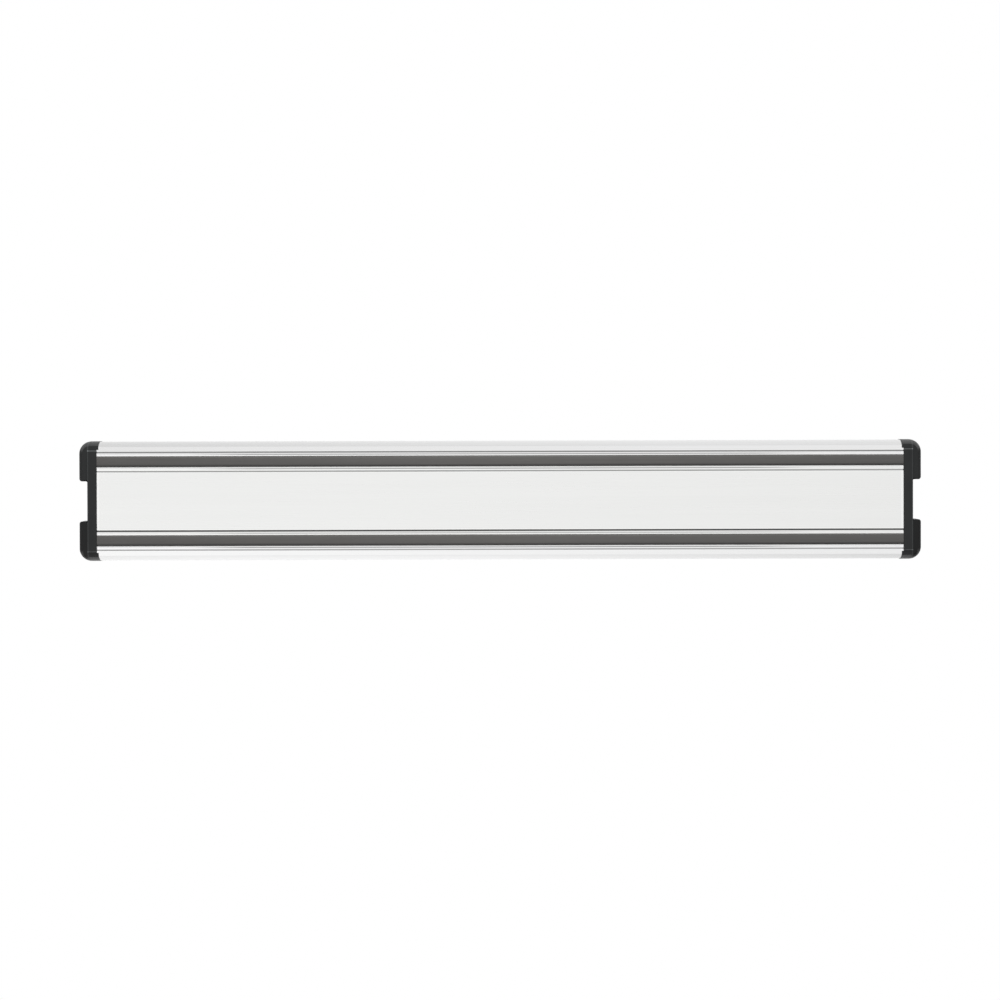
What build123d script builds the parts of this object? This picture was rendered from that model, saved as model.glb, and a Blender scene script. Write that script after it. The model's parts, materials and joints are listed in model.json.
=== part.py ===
from build123d import *
import os

# Magnetic knife rack for a wall. Millimetres.
# +X runs along the rack, +Z is up and the front faces -Y. The origin is at the middle of the back face,
# on the wall. "Depth" is the distance in front of the wall, so a depth of d lies at Y = -d.

# ---- Driving dimensions ----
RACK_LENGTH = 350.0
HOUSING_LENGTH = 334.0
HOUSING_HEIGHT = 49.4

# Outer outline of the extrusion: flat side, curved shoulder, then a nearly frontal band
SIDE_DEPTH = 7.0            # depth at which the flat top and bottom sides start to curve in
SHOULDER_INSET = 2.0        # how far the curved shoulder leans in
SHOULDER_DEPTH = 15.0       # depth at the end of the curved shoulder
BAND_DEPTH = 15.45          # depth at the inner end of the frontal band
BAND_INNER_Z = 20.45        # half height at which the frontal band ends in a groove
SHOULDER_RADIUS = 0.6       # rounding between the shoulder and the band
WALL = 1.5                  # skin of the extrusion

# Grooves and beads on both sides of each steel bar
GROOVE_WIDTH = 0.5
GROOVE_FLOOR_DEPTH = 14.9
BEAD_ROOT_DEPTH = 15.42
BEAD_CREST_DEPTH = 15.6
GROOVE_EDGE_RADIUS = 0.12
SCORE_WIDTH = 0.2           # fine line scored along the middle of each bead
SCORE_DEPTH = 0.12

# Steel pole bars
BAR_INNER_Z = 14.3
BAR_WIDTH = 4.1
BAR_DEPTH = 16.2
BAR_EDGE_RADIUS = 0.6
BAR_SIDE_GAP = 0.08
END_GAP = 0.05              # gap between the long parts and the caps

# Web between the magnet bay and the bracket channel
WEB_BACK_DEPTH = 5.0
WEB_FRONT_DEPTH = 6.4

# Channel at the back for the wall brackets
FLANGE_THICKNESS = 1.5
FLANGE_INNER_Z = 17.05
BOSS_HALF_WIDTH = 2.6
PORT_DEPTH = 3.0            # depth of the screw port's axis
PORT_RADIUS = 1.0

# Centre cover
COVER_BACK_DEPTH = 14.0
COVER_HALF_HEIGHT = 14.23
COVER_FACE_HALF_HEIGHT = 12.05
TAPE_THICKNESS = 0.4
TAPE_HALF_HEIGHT = 12.0

# Magnets and spacers
MAGNET_COUNT = 7
MAGNET_PITCH = 46.0
SPACER_LENGTH = 4.0
MAGNET_GAP = 0.05
MAGNET_HALF_HEIGHT = 14.25
MAGNET_CHAMFER = 0.4
SPACER_HALF_HEIGHT = 13.8
SPACER_POCKET_DEPTH = 2.4
SPACER_WALL = 1.2

# End caps
CAP_PROUD = 0.2             # how far the cap stands outside the extrusion
CAP_CORNER_RADIUS = 5.2
CAP_LIP_REACH = 0.7
CAP_LIP_INNER_Z = 21.4
CAP_LIP_GAP = 0.05
LAND_LENGTH = 3.84          # the raised front land, along the rack
LAND_HALF_HEIGHT = 21.0
LAND_DEPTH = 16.3
LAND_EDGE_RADIUS = 0.3
NOTCH_HALF_HEIGHT = 8.3
NOTCH_CORNER_RADIUS = 0.6
LUG_CORNER_RADIUS = 1.8
LUG_BEVEL = 0.6             # bevel on the front edge of each lug where it faces the notch
CORE_DEPTH = 12.0
CORE_X = (168.6, 173.0)
CORE_Z = (10.6, 22.4)
CORE_RADIUS = 2.0
TENON_LENGTH = 8.0
TENON_HALF_HEIGHT = 13.9
TENON_DEPTHS = (6.6, 13.8)
FIN_LENGTH = 6.0
FIN_Z = (20.3, 21.2)
FIN_DEPTHS = (7.0, 13.0)

# Cap screws
SCREW_HEAD_RADIUS = 2.2
SCREW_HEAD_HEIGHT = 1.3
SCREW_SHANK_RADIUS = 0.95
SCREW_LENGTH = 15.0
SCREW_TIP_LENGTH = 1.2
SCREW_HEAD_SINK = 0.1
SCREW_HOLE_RADIUS = 1.3
SCREW_SEAT_GAP = 0.08
RECESS_WIDTH = 0.6
RECESS_SPAN = 2.5
RECESS_DEPTH = 0.8

# Wall brackets
BRACKET_X = 120.0
BRACKET_LENGTH = 30.0
BRACKET_Z = (9.0, 17.0)
BRACKET_THICKNESS = 3.7
BRACKET_CORNER_RADIUS = 1.5
TONGUE_TOP_Z = 21.3
TONGUE_BACK_DEPTH = 1.9
TONGUE_CHAMFER = 0.8
WALL_SCREW_SPACING = 20.0
WALL_SCREW_RADIUS = 1.9
WALL_SCREW_HEAD_RADIUS = 3.5

# ---- Derived dimensions ----
HALF_RACK = RACK_LENGTH / 2
HALF_HOUSING = HOUSING_LENGTH / 2
HALF_HEIGHT = HOUSING_HEIGHT / 2
HALF_INSERT = HALF_HOUSING - END_GAP
BAR_OUTER_Z = BAR_INNER_Z + BAR_WIDTH
BAY_HALF_HEIGHT = BAR_OUTER_Z + BAR_SIDE_GAP
GROOVE_INNER_Z = BAND_INNER_Z - GROOVE_WIDTH
NOTCH_FLOOR_X = HALF_HOUSING + LAND_LENGTH
MAGNET_FRONT_DEPTH = COVER_BACK_DEPTH - TAPE_THICKNESS
MAGNET_LENGTH = MAGNET_PITCH - SPACER_LENGTH - 2 * MAGNET_GAP
BEYOND = 3.0                # how far cutting tools reach past the material
TOUCH = 0.01                # points closer than this are the same corner

# Across the rack: local x is world Z and local y is depth. Extrudes along +X.
ACROSS = Plane(origin=(0, 0, 0), x_dir=(0, 0, 1), z_dir=(1, 0, 0))
# Seen from the front: local x is world X and local y is world Z. Extrudes away from the wall.
FACING = Plane(origin=(0, 0, 0), x_dir=(1, 0, 0), z_dir=(0, -1, 0))


def rect(low_x, high_x, low_y, high_y):
    """A flat rectangle between two corners."""
    return Pos((low_x + high_x) / 2, (low_y + high_y) / 2) * Rectangle(high_x - low_x, high_y - low_y)


def run_along(section, start, end):
    """Extrude a section drawn across the rack from X = start to X = end."""
    return Pos(start, 0, 0) * extrude(ACROSS * section, amount=end - start)


def block(x_range, z_range, depths):
    """A box between ranges of X, Z and depth."""
    return run_along(rect(*z_range, *depths), *x_range)


def both_halves(half):
    """A section and its mirror image below the centre line."""
    return half + mirror(half, about=Plane.YZ)


def round_points(face, points, radius):
    """Fillet the corners of a flat face that lie at the given points."""
    targets = [Vector(*point) for point in points]
    corners = [v for v in face.vertices() if min((Vector(v.X, v.Y) - t).length for t in targets) < TOUCH]
    return fillet(corners, radius)


def shoulder_lines(grow):
    """The curved shoulder and frontal band of the upper half, moved outward by grow."""
    side = (HALF_HEIGHT + grow, SIDE_DEPTH)
    crease = (HALF_HEIGHT - SHOULDER_INSET + grow, SHOULDER_DEPTH + grow)
    band_end = (BAND_INNER_Z + grow, BAND_DEPTH + grow)
    return side, crease, band_end


def outline(grow=0.0):
    """The closed outer outline of the extrusion, moved outward by grow."""
    side, crease, band_end = shoulder_lines(grow)
    lines = [
        Line((0, 0), (side[0], 0)),
        Line((side[0], 0), side),
        TangentArc(side, crease, tangent=(0, 1)),
        Line(crease, band_end),
        Line(band_end, (0, band_end[1])),
        Line((0, band_end[1]), (0, 0)),
    ]
    half = round_points(make_face(lines), [crease], SHOULDER_RADIUS)
    return both_halves(half)


def bead(low_z, high_z):
    """The rounded top of a bead between two heights, with a fine line scored along its middle."""
    middle = (low_z + high_z) / 2
    crest = ThreePointArc((low_z, BEAD_ROOT_DEPTH), (middle, BEAD_CREST_DEPTH), (high_z, BEAD_ROOT_DEPTH))
    score_range = (middle - SCORE_WIDTH / 2, middle + SCORE_WIDTH / 2)
    score = rect(*score_range, BEAD_CREST_DEPTH - SCORE_DEPTH, BEAD_CREST_DEPTH + SCORE_DEPTH)
    return make_face([crest, Line((high_z, BEAD_ROOT_DEPTH), (low_z, BEAD_ROOT_DEPTH))]) - score


def side_pocket():
    """The hollow between the outer skin and the wall beside the steel bar, upper half."""
    shoulder_rise = SHOULDER_DEPTH - SIDE_DEPTH
    radius = (SHOULDER_INSET**2 + shoulder_rise**2) / (2 * SHOULDER_INSET) - WALL
    centre_z = HALF_HEIGHT - WALL - radius
    top_depth = BAND_DEPTH - WALL
    top_z = centre_z + (radius**2 - (top_depth - SIDE_DEPTH) ** 2) ** 0.5
    low_z = BAY_HALF_HEIGHT + WALL
    high_z = HALF_HEIGHT - WALL
    lines = [
        Line((low_z, WEB_FRONT_DEPTH), (high_z, WEB_FRONT_DEPTH)),
        Line((high_z, WEB_FRONT_DEPTH), (high_z, SIDE_DEPTH)),
        TangentArc((high_z, SIDE_DEPTH), (top_z, top_depth), tangent=(0, 1)),
        Line((top_z, top_depth), (low_z, top_depth)),
        Line((low_z, top_depth), (low_z, WEB_FRONT_DEPTH)),
    ]
    return make_face(lines)


def housing():
    """Aluminium extrusion: magnet bay in front, bracket channel behind, screw port in the middle."""
    front = BAND_DEPTH + BEYOND
    section = outline()
    section -= both_halves(rect(BAY_HALF_HEIGHT, BAND_INNER_Z, BEAD_ROOT_DEPTH, front))
    section -= both_halves(rect(GROOVE_INNER_Z, BAND_INNER_Z, GROOVE_FLOOR_DEPTH, front))
    section += both_halves(bead(BAY_HALF_HEIGHT, GROOVE_INNER_Z))
    section -= rect(-BAY_HALF_HEIGHT, BAY_HALF_HEIGHT, WEB_FRONT_DEPTH, front)
    section -= both_halves(side_pocket())
    section -= both_halves(rect(BOSS_HALF_WIDTH, HALF_HEIGHT - WALL, FLANGE_THICKNESS, WEB_BACK_DEPTH))
    section -= both_halves(rect(BOSS_HALF_WIDTH, FLANGE_INNER_Z, -BEYOND, FLANGE_THICKNESS))
    section -= Pos(0, PORT_DEPTH) * Circle(PORT_RADIUS)
    band_corners = [(BAND_INNER_Z, BAND_DEPTH), (-BAND_INNER_Z, BAND_DEPTH)]
    section = round_points(section, band_corners, GROOVE_EDGE_RADIUS)
    return run_along(section, -HALF_HOUSING, HALF_HOUSING)


def centre_cover():
    """Flat aluminium plate between the steel bars, with a groove and a bead along each long edge."""
    bead_inner_z = COVER_FACE_HALF_HEIGHT + GROOVE_WIDTH
    front = BEAD_CREST_DEPTH + BEYOND
    section = rect(-COVER_HALF_HEIGHT, COVER_HALF_HEIGHT, COVER_BACK_DEPTH, BEAD_CREST_DEPTH)
    section -= both_halves(rect(COVER_FACE_HALF_HEIGHT, COVER_HALF_HEIGHT, BEAD_ROOT_DEPTH, front))
    section -= both_halves(rect(COVER_FACE_HALF_HEIGHT, bead_inner_z, GROOVE_FLOOR_DEPTH, front))
    section += both_halves(bead(bead_inner_z, COVER_HALF_HEIGHT))
    face_corners = [(side * COVER_FACE_HALF_HEIGHT, BEAD_CREST_DEPTH) for side in (1, -1)]
    section = round_points(section, face_corners, GROOVE_EDGE_RADIUS)
    return run_along(section, -HALF_INSERT, HALF_INSERT)


def cover_tape():
    """Double-sided tape between the magnets and the centre cover."""
    half = HALF_INSERT - TENON_LENGTH
    heights = (-TAPE_HALF_HEIGHT, TAPE_HALF_HEIGHT)
    return block((-half, half), heights, (MAGNET_FRONT_DEPTH, COVER_BACK_DEPTH))


def pole_bar():
    """Upper steel bar, standing a little proud of the aluminium."""
    section = rect(BAR_INNER_Z, BAR_OUTER_Z, WEB_FRONT_DEPTH, BAR_DEPTH)
    section = round_points(section, [(BAR_INNER_Z, BAR_DEPTH), (BAR_OUTER_Z, BAR_DEPTH)], BAR_EDGE_RADIUS)
    return run_along(section, -HALF_INSERT, HALF_INSERT)


def magnet(centre_x):
    """Ferrite block that fills the bay between the two bars."""
    half = MAGNET_LENGTH / 2
    heights = (-MAGNET_HALF_HEIGHT, MAGNET_HALF_HEIGHT)
    body = block((centre_x - half, centre_x + half), heights, (WEB_FRONT_DEPTH, MAGNET_FRONT_DEPTH))
    return chamfer(body.edges(), MAGNET_CHAMFER)


def magnet_spacer(centre_x):
    """Moulded spacer between two magnets, hollowed from the front."""
    half = SPACER_LENGTH / 2
    inner_half = half - SPACER_WALL
    inner_z = SPACER_HALF_HEIGHT - SPACER_WALL
    pocket_depths = (MAGNET_FRONT_DEPTH - SPACER_POCKET_DEPTH, MAGNET_FRONT_DEPTH)
    heights = (-SPACER_HALF_HEIGHT, SPACER_HALF_HEIGHT)
    body = block((centre_x - half, centre_x + half), heights, (WEB_FRONT_DEPTH, MAGNET_FRONT_DEPTH))
    return body - block((centre_x - inner_half, centre_x + inner_half), (-inner_z, inner_z), pocket_depths)


def cap_plan():
    """Front outline of the right cap: rounded outer corners, with a notch between two lugs."""
    low_x = HALF_HOUSING - CAP_LIP_REACH
    height = HALF_HEIGHT + CAP_PROUD
    plan = rect(low_x, HALF_RACK, -height, height)
    plan = round_points(plan, [(HALF_RACK, height), (HALF_RACK, -height)], CAP_CORNER_RADIUS)
    plan -= rect(NOTCH_FLOOR_X, HALF_RACK + BEYOND, -NOTCH_HALF_HEIGHT, NOTCH_HALF_HEIGHT)
    lugs = [(HALF_RACK, NOTCH_HALF_HEIGHT), (HALF_RACK, -NOTCH_HALF_HEIGHT)]
    floor = [(NOTCH_FLOOR_X, NOTCH_HALF_HEIGHT), (NOTCH_FLOOR_X, -NOTCH_HALF_HEIGHT)]
    return round_points(round_points(plan, lugs, LUG_CORNER_RADIUS), floor, NOTCH_CORNER_RADIUS)


def cap_edge_cutter():
    """What comes off the right cap's front edge, so that the extrusion's shoulder runs round the end."""
    start_x = HALF_HOUSING - TENON_LENGTH
    height = HALF_HEIGHT + CAP_PROUD
    side, crease, band_end = shoulder_lines(CAP_PROUD)
    outside = height + BEYOND / 2
    front = LAND_DEPTH + BEYOND
    lines = [
        TangentArc(side, crease, tangent=(0, 1)),
        Polyline(crease, band_end, (band_end[0], front), (outside, front), (outside, SIDE_DEPTH), side),
    ]
    section = round_points(make_face(lines), [crease], SHOULDER_RADIUS)
    corners = [(start_x, height), (HALF_RACK, height), (HALF_RACK, -height), (start_x, -height)]
    path = FilletPolyline(*corners, radius=CAP_CORNER_RADIUS)
    return sweep(Pos(start_x, 0, 0) * (ACROSS * section), path=FACING * path)


def lug_bevel():
    """What comes off the upper lug's front edge beside the notch."""
    front = BAND_DEPTH + CAP_PROUD
    start = (NOTCH_HALF_HEIGHT, front - LUG_BEVEL)
    end = (NOTCH_HALF_HEIGHT + LUG_BEVEL, front)
    return make_face(Polyline(start, (NOTCH_HALF_HEIGHT, front), end, start))


def cap_body():
    """Shell of the right cap outside the extrusion: end wall, rim, lips and raised land."""
    low_x = HALF_HOUSING - CAP_LIP_REACH
    heights = (-LAND_HALF_HEIGHT, LAND_HALF_HEIGHT)
    body = extrude(FACING * cap_plan(), amount=BAND_DEPTH + CAP_PROUD)
    body -= cap_edge_cutter()
    body -= run_along(outline(CAP_LIP_GAP), low_x - BEYOND, HALF_HOUSING)
    body -= block((low_x - BEYOND, HALF_HOUSING), (-CAP_LIP_INNER_Z, CAP_LIP_INNER_Z), (-BEYOND, LAND_DEPTH))
    body -= run_along(both_halves(lug_bevel()), NOTCH_FLOOR_X, HALF_RACK + BEYOND)
    land = block((HALF_HOUSING, NOTCH_FLOOR_X), heights, (SIDE_DEPTH, LAND_DEPTH))
    land = fillet(land.faces().sort_by(Axis.Y)[0].edges(), LAND_EDGE_RADIUS)
    return body + land


def end_cap():
    """Right end cap with its tenon, fins, hollowed lugs and countersunk screw hole."""
    cap = cap_body()
    tenon_start = HALF_HOUSING - TENON_LENGTH
    cap += block((tenon_start, HALF_HOUSING), (-TENON_HALF_HEIGHT, TENON_HALF_HEIGHT), TENON_DEPTHS)
    core = fillet(rect(*CORE_X, *CORE_Z).vertices(), CORE_RADIUS)
    for side in (1, -1):
        fin_z = sorted(side * z for z in FIN_Z)
        cap += block((HALF_HOUSING - FIN_LENGTH, HALF_HOUSING), fin_z, FIN_DEPTHS)
        pocket = core if side > 0 else mirror(core, about=Plane.XZ)
        cap -= extrude(FACING * pocket, amount=CORE_DEPTH)
    hole = screw_shape(SCREW_HEAD_RADIUS + SCREW_SEAT_GAP, SCREW_HOLE_RADIUS, 0.0)
    return cap - hole


def screw_shape(head_radius, shank_radius, sink):
    """A countersunk screw in the right end, pointing inward along the screw port."""
    top = NOTCH_FLOOR_X - sink
    neck = top - SCREW_HEAD_HEIGHT
    tip = top - SCREW_LENGTH
    points = [
        (top, 0),
        (top, head_radius),
        (neck, shank_radius),
        (tip + SCREW_TIP_LENGTH, shank_radius),
        (tip, shank_radius / 3),
        (tip, 0),
        (top, 0),
    ]
    return Pos(0, -PORT_DEPTH, 0) * revolve(make_face(Polyline(*points)), axis=Axis.X)


def cap_screw():
    """Right cap screw with a cross recess."""
    screw = screw_shape(SCREW_HEAD_RADIUS, SCREW_SHANK_RADIUS, SCREW_HEAD_SINK)
    top = NOTCH_FLOOR_X - SCREW_HEAD_SINK
    x_range = (top - RECESS_DEPTH, top + RECESS_DEPTH)
    half_width = RECESS_WIDTH / 2
    half_span = RECESS_SPAN / 2
    for z_half, depth_half in ((half_width, half_span), (half_span, half_width)):
        depths = (PORT_DEPTH - depth_half, PORT_DEPTH + depth_half)
        screw -= block(x_range, (-z_half, z_half), depths)
    return screw


def wall_bracket():
    """Right wall bracket: a plate with two countersunk holes and a tongue that holds the upper flange."""
    half = BRACKET_LENGTH / 2
    x_range = (BRACKET_X - half, BRACKET_X + half)
    plate = fillet(rect(*x_range, BRACKET_Z[0], TONGUE_TOP_Z).vertices(), BRACKET_CORNER_RADIUS)
    bracket = extrude(FACING * plate, amount=BRACKET_THICKNESS)
    bracket -= block(x_range, (BRACKET_Z[1], TONGUE_TOP_Z + BEYOND), (0, TONGUE_BACK_DEPTH))
    top_edge = bracket.edges().filter_by(Axis.X).sort_by(Axis.Z).group_by(Axis.Z)[-1].sort_by(Axis.Y)[-1]
    bracket = chamfer(top_edge, TONGUE_CHAMFER)
    middle_z = sum(BRACKET_Z) / 2
    for side in (1, -1):
        hole_x = BRACKET_X + side * WALL_SCREW_SPACING / 2
        bracket -= FACING * Pos(hole_x, middle_z, BRACKET_THICKNESS) * wall_screw_hole()
    return bracket


def wall_screw_hole():
    """A through hole with a countersink whose mouth is at the local origin."""
    sink = WALL_SCREW_HEAD_RADIUS - WALL_SCREW_RADIUS
    shank = Pos(0, 0, -BRACKET_THICKNESS) * Cylinder(WALL_SCREW_RADIUS, 2 * BRACKET_THICKNESS)
    head = Pos(0, 0, -sink / 2) * Cone(WALL_SCREW_RADIUS, WALL_SCREW_HEAD_RADIUS, sink)
    return shank + head


def build_parts():
    """Every separate piece, by name."""
    parts = {"housing": housing(), "centre_cover": centre_cover(), "cover_tape": cover_tape()}
    upper_bar = pole_bar()
    parts["pole_bar_upper"] = upper_bar
    parts["pole_bar_lower"] = mirror(upper_bar, about=Plane.XY)
    first_x = -MAGNET_PITCH * (MAGNET_COUNT - 1) / 2
    for i in range(MAGNET_COUNT):
        parts[f"magnet_{i + 1}"] = magnet(first_x + i * MAGNET_PITCH)
    for i in range(MAGNET_COUNT - 1):
        parts[f"magnet_spacer_{i + 1}"] = magnet_spacer(first_x + (i + 0.5) * MAGNET_PITCH)
    for name, right in (("end_cap", end_cap()), ("cap_screw", cap_screw()), ("wall_bracket", wall_bracket())):
        parts[f"{name}_right"] = right
        parts[f"{name}_left"] = mirror(right, about=Plane.YZ)
    return parts


os.makedirs("parts", exist_ok=True)
for node, solid in build_parts().items():
    export_step(solid, f"parts/{node}.step")
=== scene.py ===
import json
import math

import bpy
from mathutils import Euler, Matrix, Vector


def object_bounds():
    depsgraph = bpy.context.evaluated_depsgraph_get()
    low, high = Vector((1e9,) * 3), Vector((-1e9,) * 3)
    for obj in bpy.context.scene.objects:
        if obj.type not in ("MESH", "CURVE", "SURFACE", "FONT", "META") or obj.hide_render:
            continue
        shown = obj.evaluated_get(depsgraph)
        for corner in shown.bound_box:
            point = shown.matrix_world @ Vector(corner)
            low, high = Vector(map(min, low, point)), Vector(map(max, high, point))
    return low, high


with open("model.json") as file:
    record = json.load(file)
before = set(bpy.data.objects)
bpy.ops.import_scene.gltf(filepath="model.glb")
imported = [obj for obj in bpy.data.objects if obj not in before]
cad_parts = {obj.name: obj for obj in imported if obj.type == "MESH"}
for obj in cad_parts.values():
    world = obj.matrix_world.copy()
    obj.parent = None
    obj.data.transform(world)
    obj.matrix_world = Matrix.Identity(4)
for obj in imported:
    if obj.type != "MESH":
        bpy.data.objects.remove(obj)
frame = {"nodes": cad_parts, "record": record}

# Metres, in the part's own frame: +X along the rack, +Z up, the front faces -Y and the wall plane is Y = 0.
cad_low, cad_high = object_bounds()
MM = 0.001

# Camera, measured to the plane where the rack's sides start to curve in
CAMERA_DISTANCE = 1.51
CAMERA_ELEVATION = 1.0      # degrees above the horizon
CAMERA_ROLL = 0.155         # degrees
RACK_SHARE = 0.8408         # share of the frame's width that the rack takes
SIDE_Y = -0.007
SENSOR = 36.0               # millimetres

# Floor and softbox
FLOOR_RADIUS = 0.8
FLOOR_DROP = 0.36
SOFTBOX_LOCATION = (0.0, -0.7, 1.2)
SOFTBOX_SIZE = 0.8
SOFTBOX_WATTS = 25.0

# Surroundings. A direction has length 1: its height is its Z, across is its X and away is its Y.
# The levels are (height or across, level), with straight lines between.
HEIGHT_LEVELS = [(-1.0, 1.0), (-0.4, 1.1), (0.0, 1.03), (0.4, 0.96), (0.64, 0.88), (1.0, 0.84)]
ACROSS_LEVELS = [(-1.0, 0.9), (-0.15, 0.97), (0.0, 1.0), (0.12, 0.91), (0.3, 0.84), (1.0, 0.84)]
# Height times across: paler at the upper right and lower left, darker at the other two corners
CROSS_RANGE = (-0.06, 0.06)
CROSS_LEVELS = (0.9, 1.1)
# The dark zones on both sides behind draw the caps' outlines. They start and are full at these values.
ZONE_ACROSS = (0.1, 0.35)
ZONE_AWAY = (0.0, 0.3)
ZONE_DARKNESS = 0.87
# Heights where the zones are paler, so that the aluminium looks like metal from behind and from above
ZONE_GAPS = [(-0.32, -0.2), (0.15, 2.0)]
ZONE_GAP_SHARE = 0.3
ZONE_GAP_SOFTNESS = 0.04
# Share of the surroundings' light that matt surfaces get
DIFFUSE_SHARE = 0.55

# Millimetres from here on.
# Painted light on the aluminium, band by band: (low z, high z, factor, reach in x).
# Past its reach, each one fades over a length.
HOUSING_PAINTED_LIGHT = [
    # Painted shade in the two grooves
    (19.95, 20.5, 0.3, 180),
    (-20.45, -19.95, 0.48, 180),
    # Painted highlights on the edges beside the grooves
    (20.5, 20.8, 1.05, 180),
    (-20.8, -20.45, 1.05, 180),
    # Painted dark reflections along the middles of the beads, which stop short of the ends
    (19.12, 19.42, 0.35, 105),
    (-19.45, -19.12, 0.3, 105),
]
COVER_PAINTED_LIGHT = [
    # Painted shade in the two grooves
    (12.05, 12.55, 0.42, 180),
    (-12.7, -12.05, 0.1, 180),
    # Painted highlights on the face's edges beside the grooves
    (11.65, 12.05, 1.08, 180),
    (-12.05, -11.65, 1.08, 180),
    # Painted dark reflections along the middles of the beads, which stop short of the ends
    (13.15, 13.48, 0.35, 105),
    (-13.5, -13.25, 0.4, 105),
]
STRIPE_FADE = 25.0
STRIPE_SOFTNESS = 0.06

# Painted highlight: the paler end of the aluminium beside each cap: (low x, high x, factor, softness)
END_HIGHLIGHT = (166.0, 170.0, 1.08, 0.3)

# Steel bars: the height of a bar's middle, and the heights from there and the x where its tones change
BAR_CENTRE = 16.35
# Heights where the painted light rises towards a bar's top and where the painted shade on its lower edge
# starts
BAR_PAINTED_LIGHT_RISE = (-2.0, 2.0)
BAR_LOWER_EDGE_SHADE = (-2.0, -1.0)
BAR_ENDS = (20.0, 150.0)

# Caps: where the raised land ends and the lugs start in x, and the painted light on them: (low, high, factor)
LAND_END = (170.78, 170.98)
LUG_START = (170.92, 171.07)
# Painted highlight lines at the land's end and along its top and bottom
LAND_END_HIGHLIGHT = (170.43, 170.93, 2.5)
LAND_HIGHLIGHT_LINES = (20.7, 21.1, 5.0)
# A painted shade line on the upper lug, and painted shade that darkens the lower lug from its top down
UPPER_LUG_SHADE_LINE = (8.0, 8.9, 0.2)
LOWER_LUG_SHADE = (0.35, 1.0)
LOWER_LUG_SHADE_TOP = (-9.0, -7.0)


# ---- Node graphs ----

class Graph:
    """One tree's nodes, made with short calls."""

    def __init__(self, tree):
        self.tree = tree

    def add(self, kind, inputs=None, **settings):
        """A node with its settings and inputs. An input is a socket to link or a plain value."""
        node = self.tree.nodes.new(kind)
        for key, value in settings.items():
            setattr(node, key, value)
        for socket, value in (inputs or {}).items():
            self.feed(node.inputs[socket], value)
        return node

    def feed(self, socket, value):
        """Link a socket, or set its value."""
        if isinstance(value, bpy.types.NodeSocket):
            self.tree.links.new(value, socket)
        else:
            socket.default_value = value

    def math(self, operation, a, b=0.0):
        return self.add("ShaderNodeMath", {0: a, 1: b}, operation=operation).outputs[0]

    def times(self, *values):
        """The product of two or more values."""
        product = values[0]
        for value in values[1:]:
            product = self.math("MULTIPLY", product, value)
        return product

    def spread(self, value, low, high, source=(0.3, 0.7)):
        """Map a value's source range to low..high, clamped."""
        inputs = {"Value": value, "From Min": source[0], "From Max": source[1], "To Min": low, "To Max": high}
        return self.add("ShaderNodeMapRange", inputs).outputs[0]

    def blend(self, share, first, second):
        """First where the share is 0, second where it is 1."""
        return self.add("ShaderNodeMix", {"Factor": share, "A": first, "B": second}).outputs["Result"]

    def stripe(self, value, low, high, factor, softness=STRIPE_SOFTNESS):
        """The factor where the value is between low and high, and 1 elsewhere."""
        rise = self.spread(value, 0.0, 1.0, (low - softness, low + softness))
        fall = self.spread(value, 1.0, 0.0, (high - softness, high + softness))
        return self.spread(self.times(rise, fall), 1.0, factor, (0, 1))

    def curve(self, value, stops):
        """A value from -1 to 1 turned into a level through straight lines between stops (value, level)."""
        node = self.add("ShaderNodeValToRGB", {0: self.spread(value, 0.0, 1.0, (-1, 1))})
        elements = node.color_ramp.elements
        while len(elements) < len(stops):
            elements.new(0.5)
        for element, (position, level) in zip(elements, stops):
            element.position = (position + 1) / 2
            element.color = (*grey(level), 1.0)
        return node.outputs[0]


class Surface(Graph):
    """One material's nodes. Texture space is the part's frame, in millimetres."""

    def __init__(self, name):
        self.material = bpy.data.materials.new(name)
        self.material.use_nodes = True
        super().__init__(self.material.node_tree)
        self.shader = self.tree.nodes["Principled BSDF"]
        coordinates = self.add("ShaderNodeTexCoord").outputs["Object"]
        scaled = self.add("ShaderNodeVectorMath", {0: coordinates, 1: (1 / MM,) * 3}, operation="MULTIPLY")
        self.place = scaled.outputs[0]
        split = self.add("ShaderNodeSeparateXYZ", {0: self.place})
        self.x, _, self.z = split.outputs

    def set(self, **values):
        """Feed the shader: underscores in a name stand for spaces."""
        for name, value in values.items():
            self.feed(self.shader.inputs[name.replace("_", " ")], value)

    def noise(self, size, detail=3.0, roughness=0.5):
        """Noise from about 0.3 to 0.7, whose features measure size = (x, y, z) millimetres."""
        stretch = tuple(1 / s for s in size)
        point = self.add("ShaderNodeVectorMath", {0: self.place, 1: stretch}, operation="MULTIPLY").outputs[0]
        inputs = {"Vector": point, "Scale": 1.0, "Detail": detail, "Roughness": roughness}
        return self.add("ShaderNodeTexNoise", inputs).outputs["Fac"]

    def tint(self, colour, factor):
        """A colour times a factor."""
        return self.add("ShaderNodeVectorMath", {0: colour, "Scale": factor}, operation="SCALE").outputs[0]

    def bump(self, height, distance_mm, strength):
        inputs = {"Height": height, "Distance": distance_mm * MM, "Strength": strength}
        self.set(Normal=self.add("ShaderNodeBump", inputs).outputs[0])


def grey(level):
    return (level, level, level)


# ---- Materials ----

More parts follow.
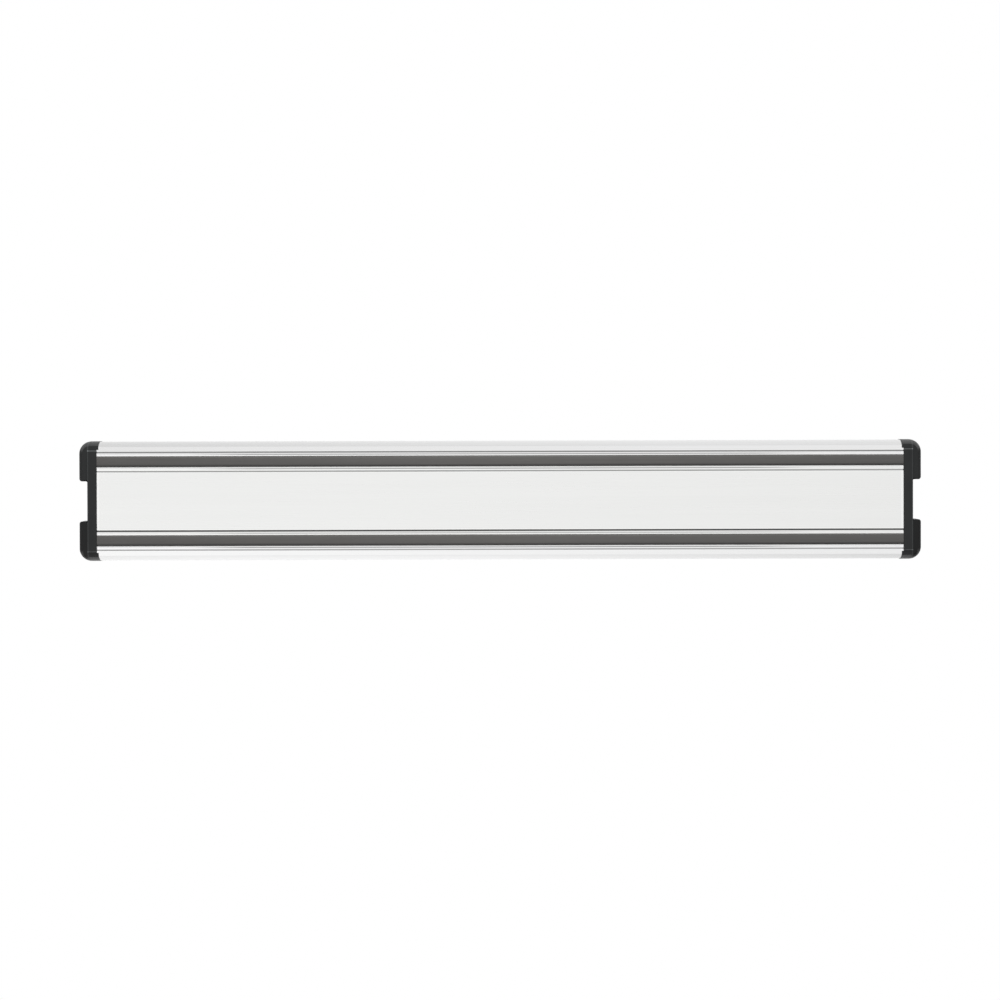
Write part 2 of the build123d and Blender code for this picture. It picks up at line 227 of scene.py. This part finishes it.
def drawn_aluminium(name, colour, roughness, painted_light_stripes):
    """Satin anodised aluminium with fine lines along the rack, with painted shade in its grooves, painted
    highlights beside them and at its ends, and painted dark reflections along its beads.
    """
    surface = Surface(name)
    fine = surface.noise((60.0, 0.25, 0.25), detail=4.0, roughness=0.7)
    broad = surface.noise((160.0, 5.0, 5.0))
    tone = surface.times(surface.spread(fine, 0.985, 1.015), surface.spread(broad, 0.992, 1.008))
    across = surface.math("ABSOLUTE", surface.x)
    # Painted shade, highlights and reflections in bands along the rack, each fading past its reach
    for low, high, factor, reach in painted_light_stripes:
        inside = surface.spread(across, 1.0, 0.0, (reach, reach + STRIPE_FADE))
        band = surface.blend(inside, 1.0, surface.stripe(surface.z, low, high, factor))
        tone = surface.times(tone, band)
    # Painted highlight at the aluminium's cut end beside each cap
    tone = surface.times(tone, surface.stripe(across, *END_HIGHLIGHT))
    surface.set(Base_Color=surface.tint(colour, tone), Metallic=1.0)
    surface.set(Roughness=surface.spread(fine, roughness - 0.04, roughness + 0.04))
    surface.bump(fine, 0.004, 0.35)
    return surface.material


def coated_steel(name, colour):
    """Steel bar with a dark oxide coat and rolling marks, paler towards the rack's middle, with painted light
    paler towards its top and painted shade along its lower edge.
    """
    surface = Surface(name)
    rolled = surface.noise((45.0, 0.35, 0.35), detail=4.0, roughness=0.65)
    cloud = surface.noise((9.0, 2.0, 2.0), detail=5.0)
    grain = surface.noise((0.35, 0.2, 0.2))
    centre = surface.times(surface.math("SIGN", surface.z), BAR_CENTRE)
    rise = surface.math("SUBTRACT", surface.z, centre)
    tone = surface.times(
        surface.spread(rolled, 0.93, 1.07),
        surface.spread(cloud, 0.95, 1.05),
        # Painted light, paler towards the top, and painted shade on the lower edge
        surface.spread(rise, 0.92, 1.12, BAR_PAINTED_LIGHT_RISE),
        surface.spread(rise, 0.3, 1.0, BAR_LOWER_EDGE_SHADE),
        surface.spread(surface.math("ABSOLUTE", surface.x), 1.1, 0.9, BAR_ENDS),
    )
    surface.set(Base_Color=surface.tint(colour, tone), Metallic=0.25)
    surface.set(Roughness=surface.spread(cloud, 0.4, 0.5))
    surface.bump(surface.math("ADD", rolled, grain), 0.006, 0.5)
    return surface.material


def moulded_plastic(name, colour, roughness, specular, marks=None):
    """Black moulding with a fine spark-eroded texture. Marks are further tones, made by a function; on the
    caps they are painted highlights and painted shade.
    """
    surface = Surface(name)
    texture = surface.noise((0.28, 0.28, 0.28), detail=5.0, roughness=0.6)
    flow = surface.noise((6.0, 6.0, 14.0))
    tone = surface.spread(flow, 0.85, 1.15)
    if marks:
        tone = marks(surface, tone)
    surface.set(Base_Color=surface.tint(colour, tone))
    surface.set(Roughness=surface.spread(texture, roughness - 0.06, roughness + 0.06))
    surface.set(Specular_IOR_Level=specular)
    surface.bump(texture, 0.012, 0.6)
    return surface.material


def cap_painted_light(surface, tone):
    """Painted highlights on the edges round the cap's land, painted shade on the lower lug and a painted
    shade line on the upper one.
    """
    across = surface.math("ABSOLUTE", surface.x)
    height = surface.math("ABSOLUTE", surface.z)
    land = surface.spread(across, 1.0, 0.0, LAND_END)
    lug = surface.spread(across, 0.0, 1.0, LUG_START)
    # Painted highlights along the land's top and bottom, a painted shade line on the upper lug and painted
    # shade on the lower lug
    for place, factor in (
        (land, surface.stripe(height, *LAND_HIGHLIGHT_LINES)),
        (lug, surface.stripe(surface.z, *UPPER_LUG_SHADE_LINE)),
        (lug, surface.spread(surface.z, *LOWER_LUG_SHADE, LOWER_LUG_SHADE_TOP)),
    ):
        tone = surface.times(tone, surface.blend(place, 1.0, factor))
    # Painted highlight along the land's end
    return surface.times(tone, surface.stripe(across, *LAND_END_HIGHLIGHT))


def ferrite(name):
    """Pressed and ground ferrite: dark grey, with grinding lines and fine pores."""
    surface = Surface(name)
    ground = surface.noise((0.3, 6.0, 8.0), detail=4.0)
    pores = surface.noise((0.5, 0.5, 0.5), detail=6.0, roughness=0.7)
    tone = surface.times(surface.spread(ground, 0.8, 1.2), surface.spread(pores, 0.75, 1.2))
    surface.set(Base_Color=surface.tint(grey(0.075), tone), Roughness=surface.spread(pores, 0.45, 0.7))
    surface.bump(pores, 0.02, 0.5)
    return surface.material


def foam_tape(name):
    """Off-white foam tape."""
    surface = Surface(name)
    cells = surface.noise((0.4, 0.4, 0.4), detail=4.0)
    tone = surface.spread(cells, 0.85, 1.05)
    surface.set(Base_Color=surface.tint((0.82, 0.80, 0.72), tone), Roughness=0.85)
    surface.bump(cells, 0.03, 0.6)
    return surface.material


def natural_plastic(name):
    """Unpigmented moulded plastic, a little cloudy."""
    surface = Surface(name)
    cloud = surface.noise((3.0, 3.0, 3.0), detail=4.0)
    surface.set(Base_Color=surface.tint((0.74, 0.72, 0.66), surface.spread(cloud, 0.92, 1.06)))
    surface.set(Roughness=surface.spread(cloud, 0.45, 0.6))
    surface.bump(surface.noise((0.3, 0.3, 0.3)), 0.008, 0.5)
    return surface.material


def zinc_plate(name):
    """Zinc-plated screw steel with fine turning marks."""
    surface = Surface(name)
    turned = surface.noise((0.12, 0.8, 0.8), detail=3.0)
    cloud = surface.noise((0.9, 0.9, 0.9), detail=4.0)
    surface.set(Base_Color=surface.tint((0.62, 0.62, 0.64), surface.spread(cloud, 0.85, 1.08)), Metallic=1.0)
    surface.set(Roughness=surface.spread(cloud, 0.28, 0.45))
    surface.bump(turned, 0.01, 0.4)
    return surface.material


def paint_all():
    """Give each CAD node the material of its slot."""
    materials = {
        "housing_aluminium": drawn_aluminium("drawn_aluminium", grey(0.89), 0.3, HOUSING_PAINTED_LIGHT),
        "cover_aluminium": drawn_aluminium("brushed_aluminium", (0.873, 0.876, 0.866), 0.3, COVER_PAINTED_LIGHT),
        "pole_steel": coated_steel("coated_steel", (0.084, 0.081, 0.078)),
        "cap_plastic": moulded_plastic("black_moulding", (0.013, 0.0138, 0.014), 0.38, 0.24, cap_painted_light),
        "bracket_plastic": moulded_plastic("bracket_moulding", (0.014, 0.014, 0.014), 0.55, 0.4),
        "ferrite": ferrite("ferrite_block"),
        "spacer_plastic": natural_plastic("natural_moulding"),
        "tape": foam_tape("foam_tape"),
        "screw_steel": zinc_plate("zinc_plate"),
    }
    for entry in frame["record"]["subparts"]:
        frame["nodes"][entry["node"]].material_slots[0].material = materials[entry["material_slot"]]


# ---- Stage ----

def build_world():
    """Pale uneven surroundings, darker on both sides behind. They are plain white to the camera."""
    world = bpy.data.worlds.new("studio")
    bpy.context.scene.world = world
    world.use_nodes = True
    graph = Graph(world.node_tree)
    background = graph.tree.nodes["Background"]
    background.inputs["Color"].default_value = (*grey(1.0), 1.0)
    direction = graph.add("ShaderNodeTexCoord").outputs["Generated"]
    across, away, height = graph.add("ShaderNodeSeparateXYZ", {0: direction}).outputs
    darkness = graph.times(
        graph.spread(graph.math("ABSOLUTE", across), 0.0, 1.0, ZONE_ACROSS),
        graph.spread(away, 0.0, ZONE_DARKNESS, ZONE_AWAY),
    )
    for low, high in ZONE_GAPS:
        darkness = graph.times(darkness, graph.stripe(height, low, high, ZONE_GAP_SHARE, ZONE_GAP_SOFTNESS))
    rays = graph.add("ShaderNodeLightPath")
    level = graph.times(
        graph.curve(height, HEIGHT_LEVELS),
        graph.curve(across, ACROSS_LEVELS),
        graph.math("SUBTRACT", 1.0, darkness),
        graph.spread(graph.times(across, height), *CROSS_LEVELS, CROSS_RANGE),
        graph.spread(rays.outputs["Is Diffuse Ray"], 1.0, DIFFUSE_SHARE, (0, 1)),
    )
    graph.feed(background.inputs["Strength"], graph.blend(rays.outputs["Is Camera Ray"], level, 1.0))


def build_floor():
    """A pale round floor well below the rack."""
    bpy.ops.mesh.primitive_circle_add(vertices=128, radius=FLOOR_RADIUS, fill_type="NGON")
    floor = bpy.context.object
    floor.name = "floor"
    floor.location = (0, 0, cad_low.z - FLOOR_DROP)
    surface = Surface("floor_paint")
    mottle = surface.noise((120.0, 120.0, 120.0))
    surface.set(Base_Color=surface.tint(grey(0.65), surface.spread(mottle, 0.98, 1.02)), Roughness=0.7)
    floor.data.materials.append(surface.material)
    floor.visible_glossy = False


def build_softbox():
    """A square area light above the front that points at the rack and doesn't mirror in it."""
    light = bpy.data.lights.new("top_softbox", "AREA")
    light.size = SOFTBOX_SIZE
    light.energy = SOFTBOX_WATTS
    lamp = bpy.data.objects.new("top_softbox", light)
    lamp.location = SOFTBOX_LOCATION
    lamp.rotation_euler = (-Vector(SOFTBOX_LOCATION)).to_track_quat("-Z", "Y").to_euler()
    lamp.visible_glossy = False
    bpy.context.scene.collection.objects.link(lamp)


def build_camera():
    """Straight in front of the rack, just above its middle."""
    aim = Vector((0, SIDE_Y, 0))
    elevation = math.radians(CAMERA_ELEVATION)
    camera = bpy.data.cameras.new("camera")
    camera.sensor_width = SENSOR
    length = cad_high.x - cad_low.x
    camera.lens = SENSOR * RACK_SHARE * CAMERA_DISTANCE / length
    view = bpy.data.objects.new("camera", camera)
    view.location = aim + CAMERA_DISTANCE * Vector((0, -math.cos(elevation), math.sin(elevation)))
    view.rotation_euler = Euler((math.pi / 2 - elevation, math.radians(CAMERA_ROLL), 0))
    bpy.context.scene.collection.objects.link(view)
    bpy.context.scene.camera = view


paint_all()
build_world()
build_floor()
build_softbox()
build_camera()
bpy.context.scene.view_settings.view_transform = "Standard"
